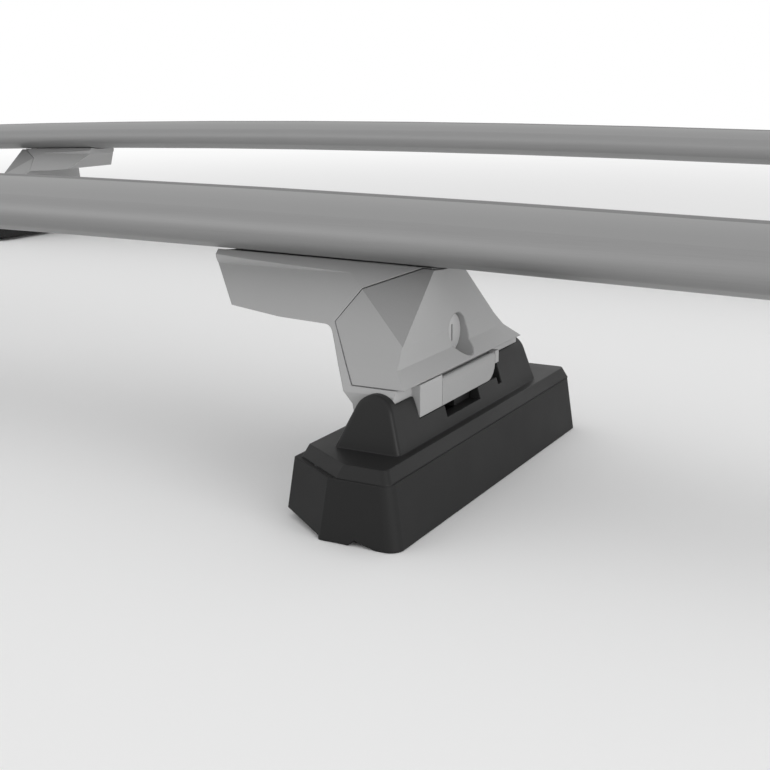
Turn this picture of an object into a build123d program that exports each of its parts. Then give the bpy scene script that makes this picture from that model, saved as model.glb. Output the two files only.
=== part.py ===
"""Roof rack: two arched aero crossbars on four lockable legs.

Millimetres, +Z up.  The origin is on the roof plane, midway between the bars.
+X runs along the bars, +Y from the front bar to the rear bar.
Each leg is drawn once in its own frame: x outboard, y along the roof, z up
from the roof, with the bar's centre line over y = 0.
"""
import math
import os

from build123d import *

os.makedirs("parts", exist_ok=True)

# Rack layout
BAR_SPREAD = 630.0
FRONT_HALF_TRACK = 348.0
REAR_HALF_TRACK = 529.0
BAR_LENGTH = 1250.0
BAR_ARCH_RADIUS = 19000.0
BAR_CENTRE_HEIGHT = 118.0

# Crossbar extrusion, drawn across the bar
BAR_WIDTH = 80.0
BAR_DEPTH = 30.0
BAR_NOSE_RADIUS = 9.0
BAR_WALL = 2.2
SLOT_MOUTH = 10.0
SLOT_INNER_WIDTH = 18.0
SLOT_INNER_DEPTH = 5.0
SLOT_LIP = 2.4
STRIP_CLEARANCE = 0.1
STRIP_CROWN = 0.5
CAP_THICKNESS = 8.0
CAP_EDGE_CHAMFER = 2.5
CAP_PLUG_LENGTH = 18.0
CAP_PLUG_CLEARANCE = 0.2

# Rubber pad under the foot
PAD_HEIGHT = 27.8
PAD_TOP_INBOARD = -29.5
PAD_TOP_OUTBOARD = 27.0
PAD_TOP_HALF_LENGTH = 103.5
PAD_CENTRE_Y = 5.5
PAD_FLARE_INBOARD = 4.5
PAD_FLARE_OUTBOARD = 4.0
PAD_FLARE_END = 0.8
FOOT_CORNER_X = 28.0
FOOT_CORNER_Y = 18.0
FOOT_CORNER_RADIUS = 6.0
PAD_RIB_INBOARD = -7.0
PAD_RIB_OUTBOARD = 8.0
PAD_RIB_STEP = 1.5
PAD_INBOARD_RISE = 4.0
PAD_GROOVE_AT = 10.6
PAD_GROOVE_DEPTH = 2.4
PAD_LAND_AT = 20.8
PAD_FLOOR = 8.0
PLUG_HALF_WIDTH = 15.0
PLUG_HALF_LENGTH = 88.0
PLUG_CLEARANCE = 0.15

# Foot base: rim, deck and the bell-shaped socket that holds the tower
RIM_HEIGHT = 5.7
RIM_INSET = 2.5
RIM_GAP = 0.4
RIM_LEDGE = 3.0
BELL_TOP_X = 5.4
BELL_TOP_Z = 47.5
BELL_TOP_RADIUS = 9.7
BELL_INBOARD_DRAFT = 26.0
BELL_OUTBOARD_DRAFT = 17.0
BELL_HALF_LENGTH = 76.0
BELL_END_LEAN = 10.0
BELL_EDGE_RADIUS = 2.5
SOCKET_HALF_LENGTH = 66.5
SOCKET_FLOOR = 37.2
SOCKET_INBOARD = -3.0
SOCKET_CLEARANCE = 0.2
WALL_STEPS = (
    (-66.5, -51.0, 53.0),
    (-51.0, -26.5, 43.3),
    (-26.5, 9.5, 38.0),
    (9.5, 31.5, 43.4),
    (31.5, 36.0, 40.0),
    (36.0, 66.5, 56.0),
)
FOOT_SCREW_RADIUS = 3.3
FOOT_SCREW_HEAD_RADIUS = 6.0
FOOT_SCREW_X = 4.5

# Steel catch plate in the socket
CATCH_THICKNESS = 2.0
CATCH_INBOARD = -2.0
CATCH_OUTBOARD = 11.0
CATCH_FRONT = -30.0
CATCH_REAR = 20.0
CATCH_WEB_X = 2.5
CATCH_HOOK_FRONT = -24.0
CATCH_HOOK_REAR = -8.0
CATCH_HOOK_TIP = 10.5
CATCH_HOOK_TOP = 50.8

# Tower: side profile numbers, inboard to outboard
ARM_END_TOP = (-111.8, 107.0)
ARM_END_MID = (-110.8, 99.5)
ARM_END_LOW = (-90.7, 82.7)
ARM_UNDER = (-62.0, 80.0)
LEG_KNEE = (-33.0, 79.0)
KNEE_RADIUS = 8.0
LEG_FOOT = (-8.0, 51.0)
LOWER_BODY_INBOARD = -7.0
LOWER_BODY_OUTBOARD = 12.3
LOWER_BODY_BOTTOM = 45.2
COVER_BOTTOM = 58.5
FLARE_TIP_X = 16.0
FLARE_TOP = (9.0, 65.0)
FACE_LOW = (7.0, 72.5)
FACE_TOP = (5.0, 107.0)
SEAM_LOW = (-9.5, 58.5)
SEAM_KNEE = (-31.5, 80.3)
SEAM_TOP = (-25.0, 93.4)
SEAM_CREST = (2.0, 103.5)

# Tower: half widths up the leg, as (half width, height)
SPREAD_BASE = (66.3, 45.2)
SPREAD_HIP = (66.3, 56.0)
SPREAD_SHOULDER = (57.0, 65.0)
SPREAD_WAIST = (49.4, 72.0)
SPREAD_NECK = (20.6, 99.4)
SPREAD_ROLL = (21.6, 103.0)
SPREAD_TOP = (19.6, 107.0)

# Upper facet of the leg's side, through three points given as (x, half width, height)
FACET_LOW = (7.0, 48.4, 73.0)
FACET_BACK = (-25.0, 26.9, 93.4)
FACET_TOP = (5.0, 14.5, 102.0)

# Cover shell
COVER_WALL = 2.6
COVER_CLEARANCE = 0.5
SEAM_GAP = 0.4
COVER_BAR_GAP = 1.5
LOCK_Y = 7.0
LOCK_Z = 69.5
LOCK_POCKET_RADIUS = 10.0
LOCK_POCKET_FLOOR = 0.0
LOCK_CUP_WALL = 2.0
LOCK_RADIUS = 6.5
LOCK_CLEARANCE = 0.05
LOCK_FACE = 1.6
KEYWAY_WIDTH = 1.6
KEYWAY_LENGTH = 8.0
KEYWAY_DEPTH = 2.5
CAM_HALF_LENGTH = 9.0
CAM_HALF_HEIGHT = 3.0
CAM_BACK = -12.0
CAM_FRONT = -9.2
CAM_ROOM = 0.6
KEEPER_FRONT = -3.4
KEEPER_BACK = -8.4

# Release lever under the cover
LEVER_FRONT = -28.0
LEVER_REAR = 30.0
LEVER_THICKNESS = 3.8
LEVER_PIVOT_X = 14.7
LEVER_PIVOT_Z = 54.6
LEVER_BOTTOM = 43.7
LEVER_CORNER = 8.0
LEVER_SIDE_GAP = 0.4
LEVER_PIN_RADIUS = 1.0
LEVER_BORE_CLEARANCE = 0.05
LEVER_EAR_WIDTH = 4.0
LIP_FRONT = -50.0
NOSE_TIP = 7.0
NOSE_TOP = 48.5
NOSE_BOTTOM = 45.5
NOSE_FRONT = -23.0
NOSE_REAR = -9.0
NOSE_ROOM = 1.2

# Saddle and bar bolt
SADDLE_CLEARANCE = 0.5
SADDLE_PAD = 3.0
SADDLE_SEAT_GAP = 0.05
SADDLE_HALF_WIDTH = 13.0
SADDLE_INBOARD = -106.0
SADDLE_OUTBOARD = -9.0
LIP_CLEARANCE = 0.8
BOLT_X = -70.0
BOLT_RADIUS = 4.0
BOLT_HOLE_CLEARANCE = 0.2
BOLT_HEAD_SIZE = 16.0
BOLT_HEAD_HEIGHT = 3.6
BOLT_HEAD_LIFT = 0.7
BOLT_LENGTH = 24.0
NUT_ACROSS_FLATS = 13.0
NUT_HEIGHT = 6.5
NUT_SEAT_Z = 93.0
NUT_POCKET_RADIUS = 9.0

# Worked-out values
BAR_BOTTOM = BAR_CENTRE_HEIGHT - BAR_DEPTH / 2
BAR_SLOT_CEILING = BAR_DEPTH / 2 - SLOT_LIP
RIM_TOP = PAD_HEIGHT + RIM_HEIGHT
BAR_HALF_ANGLE = math.degrees(BAR_LENGTH / 2 / BAR_ARCH_RADIUS)
ROOMY = 200.0
OVERLAP = 1.0


def bar_apex(half_track):
    """Height of a bar's centre line at its middle, so that its legs stand level."""
    return BAR_CENTRE_HEIGHT + half_track**2 / (2 * BAR_ARCH_RADIUS)


def bar_slope(half_track):
    """Downward slope of the bar over a leg, in degrees."""
    return math.degrees(half_track / BAR_ARCH_RADIUS)


def bar_end_plane(half_track, y, end):
    """Plane across the bar at one end (end is +1 or -1), with its normal outwards."""
    apex = bar_apex(half_track)
    angle = math.radians(BAR_HALF_ANGLE)
    centre = (
        end * BAR_ARCH_RADIUS * math.sin(angle),
        y,
        apex - BAR_ARCH_RADIUS * (1 - math.cos(angle)),
    )
    normal = (end * math.cos(angle), 0, -math.sin(angle))
    return Plane(origin=centre, x_dir=(0, end, 0), z_dir=normal)


def arch_axis(half_track, y):
    """Axis that a bar's section turns about to make the arch."""
    return Axis((0, y, bar_apex(half_track) - BAR_ARCH_RADIUS), (0, 1, 0))


def bar_oval(grow=0.0):
    """Outline of the bar, grown all round: two round noses and two flat crowns, all tangent."""
    half_width = BAR_WIDTH / 2
    half_depth = BAR_DEPTH / 2
    reach = half_width - BAR_NOSE_RADIUS
    crown = (reach**2 + half_depth**2 - BAR_NOSE_RADIUS**2) / (2 * (half_depth - BAR_NOSE_RADIUS))
    lean = math.atan2(reach, crown - half_depth)
    join_y = reach + (BAR_NOSE_RADIUS + grow) * math.sin(lean)
    join_z = (BAR_NOSE_RADIUS + grow) * math.cos(lean)
    with BuildSketch() as oval:
        with BuildLine():
            ThreePointArc((join_y, join_z), (half_width + grow, 0), (join_y, -join_z))
            ThreePointArc((join_y, -join_z), (0, -half_depth - grow), (-join_y, -join_z))
            ThreePointArc((-join_y, -join_z), (-half_width - grow, 0), (-join_y, join_z))
            ThreePointArc((-join_y, join_z), (0, half_depth + grow), (join_y, join_z))
        make_face()
    return oval.sketch


def bar_chambers(inset=0.0):
    """The two hollow chambers on either side of the bar's slots."""
    web_outer = SLOT_INNER_WIDTH / 2 + BAR_WALL + inset
    shell = bar_oval(-BAR_WALL - inset)
    with BuildSketch() as chambers:
        add(shell)
        Rectangle(2 * web_outer, BAR_DEPTH, mode=Mode.SUBTRACT)
    return chambers.sketch


def bar_section():
    """Oval with two side chambers, a middle chamber and a T-slot above and below."""
    mid_height = BAR_DEPTH - 2 * (SLOT_LIP + SLOT_INNER_DEPTH + BAR_WALL)
    outside = bar_oval()
    chambers = bar_chambers()
    with BuildSketch() as section:
        add(outside)
        add(chambers, mode=Mode.SUBTRACT)
        Rectangle(SLOT_INNER_WIDTH, mid_height, mode=Mode.SUBTRACT)
        for side in (1, -1):
            with Locations((0, side * (BAR_SLOT_CEILING - SLOT_INNER_DEPTH / 2))):
                Rectangle(SLOT_INNER_WIDTH, SLOT_INNER_DEPTH, mode=Mode.SUBTRACT)
            with Locations((0, side * BAR_DEPTH / 2)):
                Rectangle(SLOT_MOUTH, 2 * (SLOT_LIP + OVERLAP), mode=Mode.SUBTRACT)
    return section.sketch


def make_crossbar(half_track, y):
    section = bar_section()
    with BuildPart() as crossbar:
        with BuildSketch(bar_end_plane(half_track, y, 1)):
            add(section)
        revolve(axis=arch_axis(half_track, y), revolution_arc=-2 * BAR_HALF_ANGLE)
    return crossbar.part


def make_top_strip(half_track, y):
    """Rubber strip that closes the top slot, a little crowned above the bar."""
    base_width = SLOT_INNER_WIDTH - 2 * STRIP_CLEARANCE
    mouth_width = SLOT_MOUTH - 2 * STRIP_CLEARANCE
    slot_floor = BAR_SLOT_CEILING - SLOT_INNER_DEPTH
    rim = BAR_DEPTH / 2 - STRIP_CLEARANCE
    with BuildPart() as top_strip:
        with BuildSketch(bar_end_plane(half_track, y, 1)):
            with Locations((0, slot_floor)):
                Rectangle(base_width, SLOT_INNER_DEPTH - STRIP_CLEARANCE, align=(Align.CENTER, Align.MIN))
            with BuildLine():
                edge = Polyline(
                    (-mouth_width / 2, rim),
                    (-mouth_width / 2, slot_floor),
                    (mouth_width / 2, slot_floor),
                    (mouth_width / 2, rim),
                )
                ThreePointArc(edge @ 1, (0, rim + STRIP_CROWN), edge @ 0)
            make_face()
        revolve(axis=arch_axis(half_track, y), revolution_arc=-2 * BAR_HALF_ANGLE)
    return top_strip.part


def make_end_cap():
    """Moulded cap with a broken edge and two plugs for the bar's side chambers."""
    outside = bar_oval()
    plugs = bar_chambers(CAP_PLUG_CLEARANCE)
    with BuildPart() as end_cap:
        with BuildSketch():
            add(outside)
        extrude(amount=CAP_THICKNESS)
        chamfer(end_cap.edges().group_by(Axis.Z)[-1], CAP_EDGE_CHAMFER)
        with BuildSketch():
            add(plugs)
        extrude(amount=-CAP_PLUG_LENGTH)
    return end_cap.part


def foot_outline(inset, flare_in=0.0, flare_out=0.0, flare_end=0.0):
    """Plan of the foot: inboard corners cut off, outboard ones square."""
    inboard = PAD_TOP_INBOARD + inset - flare_in
    outboard = PAD_TOP_OUTBOARD - inset + flare_out
    front = PAD_CENTRE_Y - PAD_TOP_HALF_LENGTH + inset - flare_end
    rear = PAD_CENTRE_Y + PAD_TOP_HALF_LENGTH - inset + flare_end
    return (
        (outboard, front),
        (outboard, rear),
        (inboard + FOOT_CORNER_X, rear),
        (inboard, rear - FOOT_CORNER_Y),
        (inboard, front + FOOT_CORNER_Y),
        (inboard + FOOT_CORNER_X, front),
    )


def flared_block(low_outline, low_z, high_outline, high_z):
    """Block between two outlines of one shape, each of its sides a single flat face."""
    count = len(low_outline)
    with BuildPart() as block:
        with BuildSketch(Plane.XY.offset(low_z)):
            Rectangle(2 * ROOMY, 2 * ROOMY)
        extrude(amount=high_z - low_z)
        for index in range(count):
            start = Vector(*low_outline[index], low_z)
            along = Vector(*low_outline[(index + 1) % count], low_z) - start
            rise = Vector(*high_outline[index], high_z) - start
            split(bisect_by=Plane(origin=start, x_dir=along, z_dir=along.cross(rise)), keep=Keep.BOTTOM)
    return block.part


def rises(edge):
    """True for a straight edge that goes up a side of the foot."""
    return abs(edge.tangent_at(0).Z) > 0.7


def make_foot_pad():
    """Flared rubber boot; its underside has a rib for the roof channel."""
    flares = (PAD_FLARE_INBOARD, PAD_FLARE_OUTBOARD, PAD_FLARE_END)
    back = PAD_TOP_INBOARD - PAD_FLARE_INBOARD
    with BuildPart() as foot_pad:
        add(flared_block(foot_outline(0, *flares), 0, foot_outline(0), PAD_HEIGHT))
        outboard_corners = foot_pad.edges().filter_by(rises).group_by(Axis.X)[-1]
        fillet(outboard_corners, FOOT_CORNER_RADIUS)
        with BuildSketch(Plane.XZ):
            Polygon(
                (back, PAD_INBOARD_RISE),
                (PAD_RIB_INBOARD, PAD_RIB_STEP),
                (PAD_RIB_INBOARD, -OVERLAP),
                (back, -OVERLAP),
                align=None,
            )
            Polygon(
                (PAD_RIB_OUTBOARD, 0),
                (PAD_GROOVE_AT, PAD_GROOVE_DEPTH),
                (PAD_LAND_AT, 0),
                align=None,
            )
        extrude(amount=ROOMY, both=True, mode=Mode.SUBTRACT)
        with BuildSketch(Plane.XY.offset(PAD_FLOOR)):
            Rectangle(2 * PLUG_HALF_WIDTH, 2 * PLUG_HALF_LENGTH)
        extrude(amount=PAD_HEIGHT, mode=Mode.SUBTRACT)
        with Locations((FOOT_SCREW_X, 0, 0)):
            Cylinder(FOOT_SCREW_RADIUS, ROOMY, mode=Mode.SUBTRACT)
    return foot_pad.part


def bell_profile():
    """Section of the socket: two drafted sides, tangent to a round top."""
    inboard = math.radians(BELL_INBOARD_DRAFT)
    outboard = math.radians(BELL_OUTBOARD_DRAFT)
    left_shoulder = (
        BELL_TOP_X - BELL_TOP_RADIUS * math.cos(inboard),
        BELL_TOP_Z + BELL_TOP_RADIUS * math.sin(inboard),
    )
    right_shoulder = (
        BELL_TOP_X + BELL_TOP_RADIUS * math.cos(outboard),
        BELL_TOP_Z + BELL_TOP_RADIUS * math.sin(outboard),
    )
    left_base = (left_shoulder[0] - (left_shoulder[1] - RIM_TOP) * math.tan(inboard), RIM_TOP)
    right_base = (right_shoulder[0] + (right_shoulder[1] - RIM_TOP) * math.tan(outboard), RIM_TOP)
    return left_shoulder, left_base, right_base, right_shoulder


def make_foot_base():
    """Rim and deck with the bell-shaped socket; the outboard wall steps down for the lever."""
    bell_top = (BELL_TOP_X, BELL_TOP_Z + BELL_TOP_RADIUS)
    lean = math.tan(math.radians(BELL_END_LEAN))
    bell_height = BELL_TOP_Z + BELL_TOP_RADIUS - RIM_TOP
    upper_end = BELL_HALF_LENGTH - bell_height * lean
    plug_bottom = PAD_FLOOR + PLUG_CLEARANCE
    rim_low = foot_outline(RIM_GAP, -RIM_LEDGE)
    rim_high = foot_outline(RIM_GAP + RIM_INSET, -RIM_LEDGE)
    with BuildPart() as foot_base:
        add(flared_block(rim_low, PAD_HEIGHT, rim_high, RIM_TOP))
        outboard_corners = foot_base.edges().filter_by(rises).group_by(Axis.X)[-1]
        fillet(outboard_corners, FOOT_CORNER_RADIUS - RIM_INSET)
        with BuildSketch(Plane.XY.offset(plug_bottom)):
            Rectangle(
                2 * (PLUG_HALF_WIDTH - PLUG_CLEARANCE),
                2 * (PLUG_HALF_LENGTH - PLUG_CLEARANCE),
            )
        extrude(amount=PAD_HEIGHT - plug_bottom)
    with BuildPart() as bell:
        with BuildSketch(Plane.XZ):
            with BuildLine():
                sides = Polyline(*bell_profile())
                ThreePointArc(sides @ 1, bell_top, sides @ 0)
            make_face()
        extrude(amount=BELL_HALF_LENGTH, both=True)
        with BuildSketch(Plane.YZ):
            Polygon(
                (-BELL_HALF_LENGTH, RIM_TOP),
                (BELL_HALF_LENGTH, RIM_TOP),
                (upper_end, RIM_TOP + bell_height),
                (-upper_end, RIM_TOP + bell_height),
                align=None,
            )
        extrude(amount=ROOMY, both=True, mode=Mode.INTERSECT)
        ends = bell.faces().sort_by(Axis.Y)
        end_edges = ends[0].edges().sort_by(Axis.Z)[1:] + ends[-1].edges().sort_by(Axis.Z)[1:]
        fillet(end_edges, BELL_EDGE_RADIUS)
    socket_out = LOWER_BODY_OUTBOARD + SOCKET_CLEARANCE
    with BuildPart() as whole:
        add(foot_base.part)
        add(bell.part)
        with BuildSketch(Plane.XZ):
            Polygon(
                (SOCKET_INBOARD - SOCKET_CLEARANCE, SOCKET_FLOOR - CATCH_THICKNESS),
                (socket_out, SOCKET_FLOOR - CATCH_THICKNESS),
                (socket_out, ROOMY),
                (-ROOMY, ROOMY),
                (-ROOMY, LOWER_BODY_BOTTOM - SOCKET_CLEARANCE),
                (SOCKET_INBOARD - SOCKET_CLEARANCE, LOWER_BODY_BOTTOM - SOCKET_CLEARANCE),
                align=None,
            )
        extrude(amount=SOCKET_HALF_LENGTH, both=True, mode=Mode.SUBTRACT)
        for start, stop, height in WALL_STEPS:
            with BuildSketch(Plane.XY.offset(height)):
                with Locations((socket_out - OVERLAP, start)):
                    Rectangle(ROOMY, stop - start, align=(Align.MIN, Align.MIN))
            extrude(amount=ROOMY, mode=Mode.SUBTRACT)
        with Locations((FOOT_SCREW_X, 0, 0)):
            Cylinder(FOOT_SCREW_RADIUS, ROOMY, mode=Mode.SUBTRACT)
    return whole.part


def make_catch_plate():
    """Bent steel plate on the socket floor; its hook is what the lever's nose pulls on."""
    floor = SOCKET_FLOOR - CATCH_THICKNESS
    with BuildPart() as catch_plate:
        with BuildSketch(Plane.XY.offset(floor)):
            with Locations((CATCH_INBOARD, CATCH_FRONT)):
                Rectangle(
                    CATCH_OUTBOARD - CATCH_INBOARD,
                    CATCH_REAR - CATCH_FRONT,
                    align=(Align.MIN, Align.MIN),
                )
        extrude(amount=CATCH_THICKNESS)
        with BuildSketch(Plane.XZ.offset(-CATCH_HOOK_FRONT)):
            Polygon(
                (CATCH_WEB_X, floor),
                (CATCH_WEB_X, CATCH_HOOK_TOP),
                (CATCH_HOOK_TIP, CATCH_HOOK_TOP),
                (CATCH_HOOK_TIP, CATCH_HOOK_TOP - CATCH_THICKNESS),
                (CATCH_WEB_X + CATCH_THICKNESS, CATCH_HOOK_TOP - CATCH_THICKNESS),
                (CATCH_WEB_X + CATCH_THICKNESS, floor),
                align=None,
            )
        extrude(amount=-(CATCH_HOOK_REAR - CATCH_HOOK_FRONT))
        with Locations((FOOT_SCREW_X, 0, floor)):
            Cylinder(FOOT_SCREW_RADIUS, 3 * CATCH_THICKNESS, mode=Mode.SUBTRACT)
    return catch_plate.part


def spread_sketch(inset):
    """Front view of the leg: an A that is wide at the foot and rolls in under the bar."""
    sides = [SPREAD_BASE, SPREAD_HIP, SPREAD_SHOULDER, SPREAD_WAIST, SPREAD_NECK]
    right = [(width - inset, height) for width, height in sides]
    left = [(-width, height) for width, height in right]
    top = (SPREAD_TOP[0] - inset, SPREAD_TOP[1])
    roll = (SPREAD_ROLL[0] - inset, SPREAD_ROLL[1])
    with BuildSketch(Plane.YZ) as spread:
        with BuildLine():
            Polyline(*reversed(right), *left)
            ThreePointArc(right[-1], roll, top)
            Line(top, (-top[0], top[1]))
            ThreePointArc((-top[0], top[1]), (-roll[0], roll[1]), left[-1])
        make_face()
    return spread.sketch


def facet_tool(side, inset):
    """All that lies outside the upper facet of one side, moved in by an inset; side is +1 or -1."""
    low = Vector(FACET_LOW[0], side * FACET_LOW[1], FACET_LOW[2])
    back = Vector(FACET_BACK[0], side * FACET_BACK[1], FACET_BACK[2])
    top = Vector(FACET_TOP[0], side * FACET_TOP[1], FACET_TOP[2])
    normal = ((back - low).cross(top - low) * side).normalized()
    with BuildPart() as tool:
        with BuildSketch(Plane(origin=low - normal * inset, x_dir=top - low, z_dir=normal)):
            Rectangle(2 * ROOMY, 2 * ROOMY)
        extrude(amount=ROOMY)
    return tool.part


def bar_envelope(half_track, clearance):
    """The bar's outside grown by a clearance, seen from the frame of one of its legs."""
    outside = bar_oval(clearance)
    with BuildPart() as envelope:
        with BuildSketch(bar_end_plane(half_track, 0, 1)):
            add(outside)
        revolve(axis=arch_axis(half_track, 0), revolution_arc=-2 * BAR_HALF_ANGLE)
    return envelope.part.moved(Location((-half_track, 0, 0)))


def saddle_block(half_track, gap, drop):
    """Slab under the bar: the saddle pad's plan grown by a gap, and a drop deep."""
    with BuildPart() as block:
        with BuildSketch(Plane.XY.offset(BAR_BOTTOM - BAR_DEPTH / 2)):
            with Locations((SADDLE_INBOARD - gap, 0)):
                Rectangle(
                    SADDLE_OUTBOARD - SADDLE_INBOARD + 2 * gap,
                    2 * (SADDLE_HALF_WIDTH + gap),
                    align=(Align.MIN, Align.CENTER),
                )
        extrude(amount=BAR_DEPTH)
        add(bar_envelope(half_track, drop), mode=Mode.INTERSECT)
    return block.part


def make_tower(half_track):
    """Cast leg: arm under the bar, core behind the cover and a tongue in the socket."""
    inset = COVER_WALL * math.sqrt(2) + COVER_CLEARANCE * math.sqrt(2)
    face_inset = COVER_WALL + COVER_CLEARANCE
    saddle_drop = SADDLE_CLEARANCE + SADDLE_PAD + SADDLE_SEAT_GAP
    with BuildPart() as body:
        with BuildSketch(Plane.XZ):
            with BuildLine():
                armpit = FilletPolyline(ARM_UNDER, LEG_KNEE, LEG_FOOT, radius=KNEE_RADIUS)
                Polyline(
                    armpit @ 1,
                    (LOWER_BODY_INBOARD, LOWER_BODY_BOTTOM),
                    (LOWER_BODY_OUTBOARD, LOWER_BODY_BOTTOM),
                    (LOWER_BODY_OUTBOARD, COVER_BOTTOM - SEAM_GAP),
                    (SEAM_LOW[0] - SEAM_GAP, COVER_BOTTOM - SEAM_GAP),
                    (SEAM_KNEE[0] - SEAM_GAP, SEAM_KNEE[1]),
                    (SEAM_TOP[0] - SEAM_GAP, SEAM_TOP[1] + SEAM_GAP),
                    (SEAM_CREST[0] - SEAM_GAP, SEAM_CREST[1] + SEAM_GAP),
                    (SEAM_CREST[0] - SEAM_GAP, SPREAD_TOP[1]),
                    ARM_END_TOP,
                    ARM_END_MID,
                    ARM_END_LOW,
                    armpit @ 0,
                )
            make_face()
        extrude(amount=ROOMY, both=True)
        extrude(spread_sketch(0), amount=ROOMY, both=True, mode=Mode.INTERSECT)
        for side in (1, -1):
            add(facet_tool(side, 0), mode=Mode.SUBTRACT)
    with BuildPart() as core:
        with BuildSketch(Plane.XZ):
            Polygon(
                (SEAM_LOW[0] - OVERLAP, COVER_BOTTOM - OVERLAP),
                (LOWER_BODY_OUTBOARD - face_inset, COVER_BOTTOM - OVERLAP),
                (FLARE_TOP[0] - face_inset, FLARE_TOP[1]),
                (FACE_LOW[0] - face_inset, FACE_LOW[1]),
                (FACE_TOP[0] - face_inset, SPREAD_TOP[1]),
                (SEAM_TOP[0] - OVERLAP, SPREAD_TOP[1]),
                (SEAM_TOP[0] - OVERLAP, SEAM_TOP[1]),
                (SEAM_KNEE[0] - OVERLAP, SEAM_KNEE[1]),
                align=None,
            )
        extrude(amount=ROOMY, both=True)
        extrude(spread_sketch(inset), amount=ROOMY, both=True, mode=Mode.INTERSECT)
        for side in (1, -1):
            add(facet_tool(side, face_inset), mode=Mode.SUBTRACT)
    pocket_radius = LOCK_POCKET_RADIUS + LOCK_CUP_WALL + COVER_CLEARANCE
    cam_reach = CAM_HALF_LENGTH + CAM_ROOM
    lever_top = LEVER_PIVOT_Z + LEVER_THICKNESS / 2 + LEVER_SIDE_GAP
    lip_out = LEVER_PIVOT_X + LEVER_THICKNESS / 2
    tongue_half = SOCKET_HALF_LENGTH - 2 * SOCKET_CLEARANCE
    with BuildPart() as tower:
        add(body.part)
        add(core.part)
        with BuildSketch(Plane.XY.offset(SOCKET_FLOOR)):
            with Locations((SOCKET_INBOARD, 0)):
                Rectangle(
                    LOWER_BODY_OUTBOARD - SOCKET_INBOARD,
                    2 * tongue_half,
                    align=(Align.MIN, Align.CENTER),
                )
        extrude(amount=LOWER_BODY_BOTTOM - SOCKET_FLOOR)
        with BuildSketch(Plane.XY.offset(LEVER_BOTTOM)):
            with Locations((LOWER_BODY_OUTBOARD, LIP_FRONT)):
                Rectangle(
                    lip_out - LOWER_BODY_OUTBOARD,
                    LEVER_FRONT - LEVER_SIDE_GAP - LIP_FRONT,
                    align=(Align.MIN, Align.MIN),
                )
        extrude(amount=COVER_BOTTOM - SEAM_GAP - LEVER_BOTTOM)
        with BuildSketch(Plane.XY.offset(LEVER_PIVOT_Z - LEVER_THICKNESS)):
            with Locations((LOWER_BODY_OUTBOARD, LEVER_REAR + LEVER_SIDE_GAP)):
                Rectangle(lip_out - LOWER_BODY_OUTBOARD, LEVER_EAR_WIDTH, align=(Align.MIN, Align.MIN))
        extrude(amount=lever_top - LEVER_PIVOT_Z + LEVER_THICKNESS)
        add(bar_envelope(half_track, LIP_CLEARANCE), mode=Mode.SUBTRACT)
        add(saddle_block(half_track, SADDLE_SEAT_GAP, saddle_drop), mode=Mode.SUBTRACT)
        with BuildSketch(Plane.XZ.offset(-(CATCH_HOOK_FRONT - NOSE_ROOM))):
            Polygon(
                (CATCH_WEB_X - NOSE_ROOM, SOCKET_FLOOR),
                (CATCH_WEB_X - NOSE_ROOM, CATCH_HOOK_TOP + NOSE_ROOM),
                (LOWER_BODY_OUTBOARD, CATCH_HOOK_TOP + NOSE_ROOM),
                (LOWER_BODY_OUTBOARD, SOCKET_FLOOR),
                align=None,
            )
        extrude(amount=-(CATCH_HOOK_REAR - CATCH_HOOK_FRONT + 2 * NOSE_ROOM), mode=Mode.SUBTRACT)
        with Locations((FOOT_SCREW_X, 0, SOCKET_FLOOR)):
            Cylinder(FOOT_SCREW_HEAD_RADIUS, 2 * FOOT_SCREW_HEAD_RADIUS, mode=Mode.SUBTRACT)
        with BuildSketch(Plane.YZ.offset(KEEPER_FRONT)):
            with Locations((LOCK_Y, LOCK_Z)):
                Circle(pocket_radius)
        extrude(amount=ROOMY, mode=Mode.SUBTRACT)
        with BuildSketch(Plane.YZ.offset(KEEPER_BACK)):
            with Locations((LOCK_Y, LOCK_Z)):
                Rectangle(2 * cam_reach, 2 * (LOCK_RADIUS + CAM_ROOM))
        extrude(amount=ROOMY, mode=Mode.SUBTRACT)
        with BuildSketch(Plane.YZ.offset(CAM_BACK - CAM_ROOM)):
            with Locations((LOCK_Y, LOCK_Z)):
                Rectangle(2 * cam_reach, 2 * cam_reach)
        extrude(amount=KEEPER_BACK - CAM_BACK + CAM_ROOM, mode=Mode.SUBTRACT)
        with Locations((BOLT_X, 0, NUT_SEAT_Z)):
            Cylinder(BOLT_RADIUS + BOLT_HOLE_CLEARANCE, ROOMY, mode=Mode.SUBTRACT)
            Cylinder(
                NUT_POCKET_RADIUS, ROOMY, align=(Align.CENTER, Align.CENTER, Align.MAX), mode=Mode.SUBTRACT
            )
        with BuildSketch(Plane.XZ.offset(LEVER_SIDE_GAP + LEVER_EAR_WIDTH - LEVER_FRONT)):
            with Locations((LEVER_PIVOT_X, LEVER_PIVOT_Z)):
                Circle(LEVER_PIN_RADIUS)
        extrude(amount=-ROOMY, mode=Mode.SUBTRACT)
    return tower.part


def make_saddle_pad(half_track):
    """Rubber pad that lies between the tower and the bar's underside."""
    with BuildPart() as saddle_pad:
        add(saddle_block(half_track, 0, SADDLE_CLEARANCE + SADDLE_PAD))
        add(bar_envelope(half_track, SADDLE_CLEARANCE), mode=Mode.SUBTRACT)
        with Locations((BOLT_X, 0, BAR_BOTTOM)):
            Cylinder(BOLT_RADIUS + BOLT_HOLE_CLEARANCE, ROOMY, mode=Mode.SUBTRACT)
    return saddle_pad.part


def bolt_head_height(slope):
    """Underside of the bolt's head, just above the lips of the bar's lower slot."""
    drop = BOLT_X * math.tan(math.radians(slope))
    return BAR_BOTTOM + SLOT_LIP + BOLT_HEAD_LIFT - drop


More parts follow.
